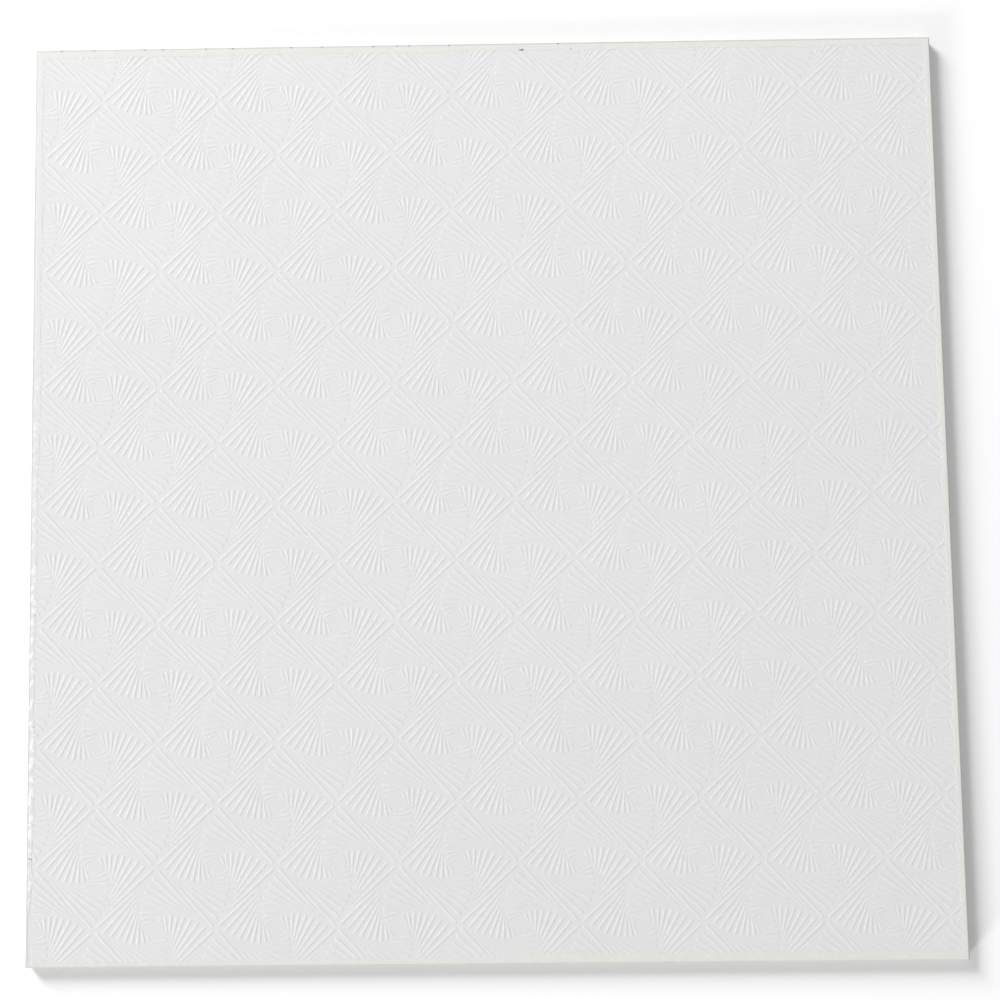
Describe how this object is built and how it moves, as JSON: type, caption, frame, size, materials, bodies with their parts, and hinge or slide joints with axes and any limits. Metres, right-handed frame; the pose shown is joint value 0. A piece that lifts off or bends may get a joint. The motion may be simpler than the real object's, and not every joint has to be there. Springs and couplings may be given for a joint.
{
  "type": "gypsum ceiling tile",
  "caption": "Square lay-in ceiling tile: a thin gypsum board with a white embossed vinyl face, its edges sealed with folded tape, which lies in a ceiling grid.",
  "frame": {"origin": "middle of the underside, which is the tile's back", "axes": "+Z out of the embossed face, +X and +Y along the sides of the square"},
  "size_m": [0.595, 0.595, 0.007],
  "materials": {
    "vinyl_faced_gypsum": "satin",
    "sealing_tape": "satin"
  },
  "bodies": {
    "root": {"gypsum_board": "vinyl_faced_gypsum", "edge_tape_left": "sealing_tape", "edge_tape_right": "sealing_tape", "edge_tape_front": "sealing_tape", "edge_tape_back": "sealing_tape"}
  },
  "joints": []
}
